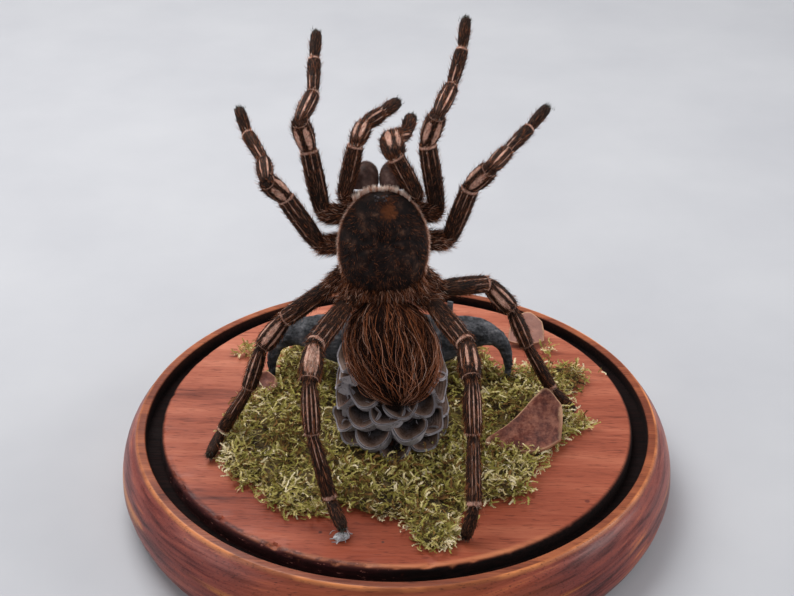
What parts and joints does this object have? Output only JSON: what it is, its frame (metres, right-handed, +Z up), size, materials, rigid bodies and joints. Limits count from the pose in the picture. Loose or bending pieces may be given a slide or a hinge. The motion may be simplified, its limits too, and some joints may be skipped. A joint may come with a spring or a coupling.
{
  "type": "mounted tarantula specimen",
  "caption": "Dried tarantula standing upright on a round turned wooden base with a dome groove, moss, a cone, a horned nut and seed husks.",
  "frame": {"origin": "centre of the base's flat underside", "axes": "+Z up, the specimen's back and the picture's camera side towards -Y, its right side towards +X"},
  "size_m": [0.159, 0.159, 0.1328],
  "materials": {
    "wood": "satin varnish",
    "moss": "dry fibres",
    "cone_scales": "dull",
    "nut_shell": "dull",
    "pod_valve": "dull",
    "cuticle": "hairy",
    "limb_cuticle": "hairy",
    "dried_glue": "cloudy"
  },
  "bodies": {
    "root": {"base": "wood", "moss_mat": "moss", "cone": "cone_scales", "horned_nut": "nut_shell", "husk_front": "pod_valve", "husk_back": "pod_valve", "husk_flake": "pod_valve", "glue_drop": "dried_glue", "prosoma": "cuticle", "abdomen": "cuticle", "chelicera_left": "cuticle", "chelicera_right": "cuticle", "palp_left": "limb_cuticle", "palp_right": "limb_cuticle", "leg_1_left": "limb_cuticle", "leg_1_right": "limb_cuticle", "leg_2_left": "limb_cuticle", "leg_2_right": "limb_cuticle", "leg_3_left": "limb_cuticle", "leg_3_right": "limb_cuticle", "leg_4_left": "limb_cuticle", "leg_4_right": "limb_cuticle"}
  },
  "joints": []
}
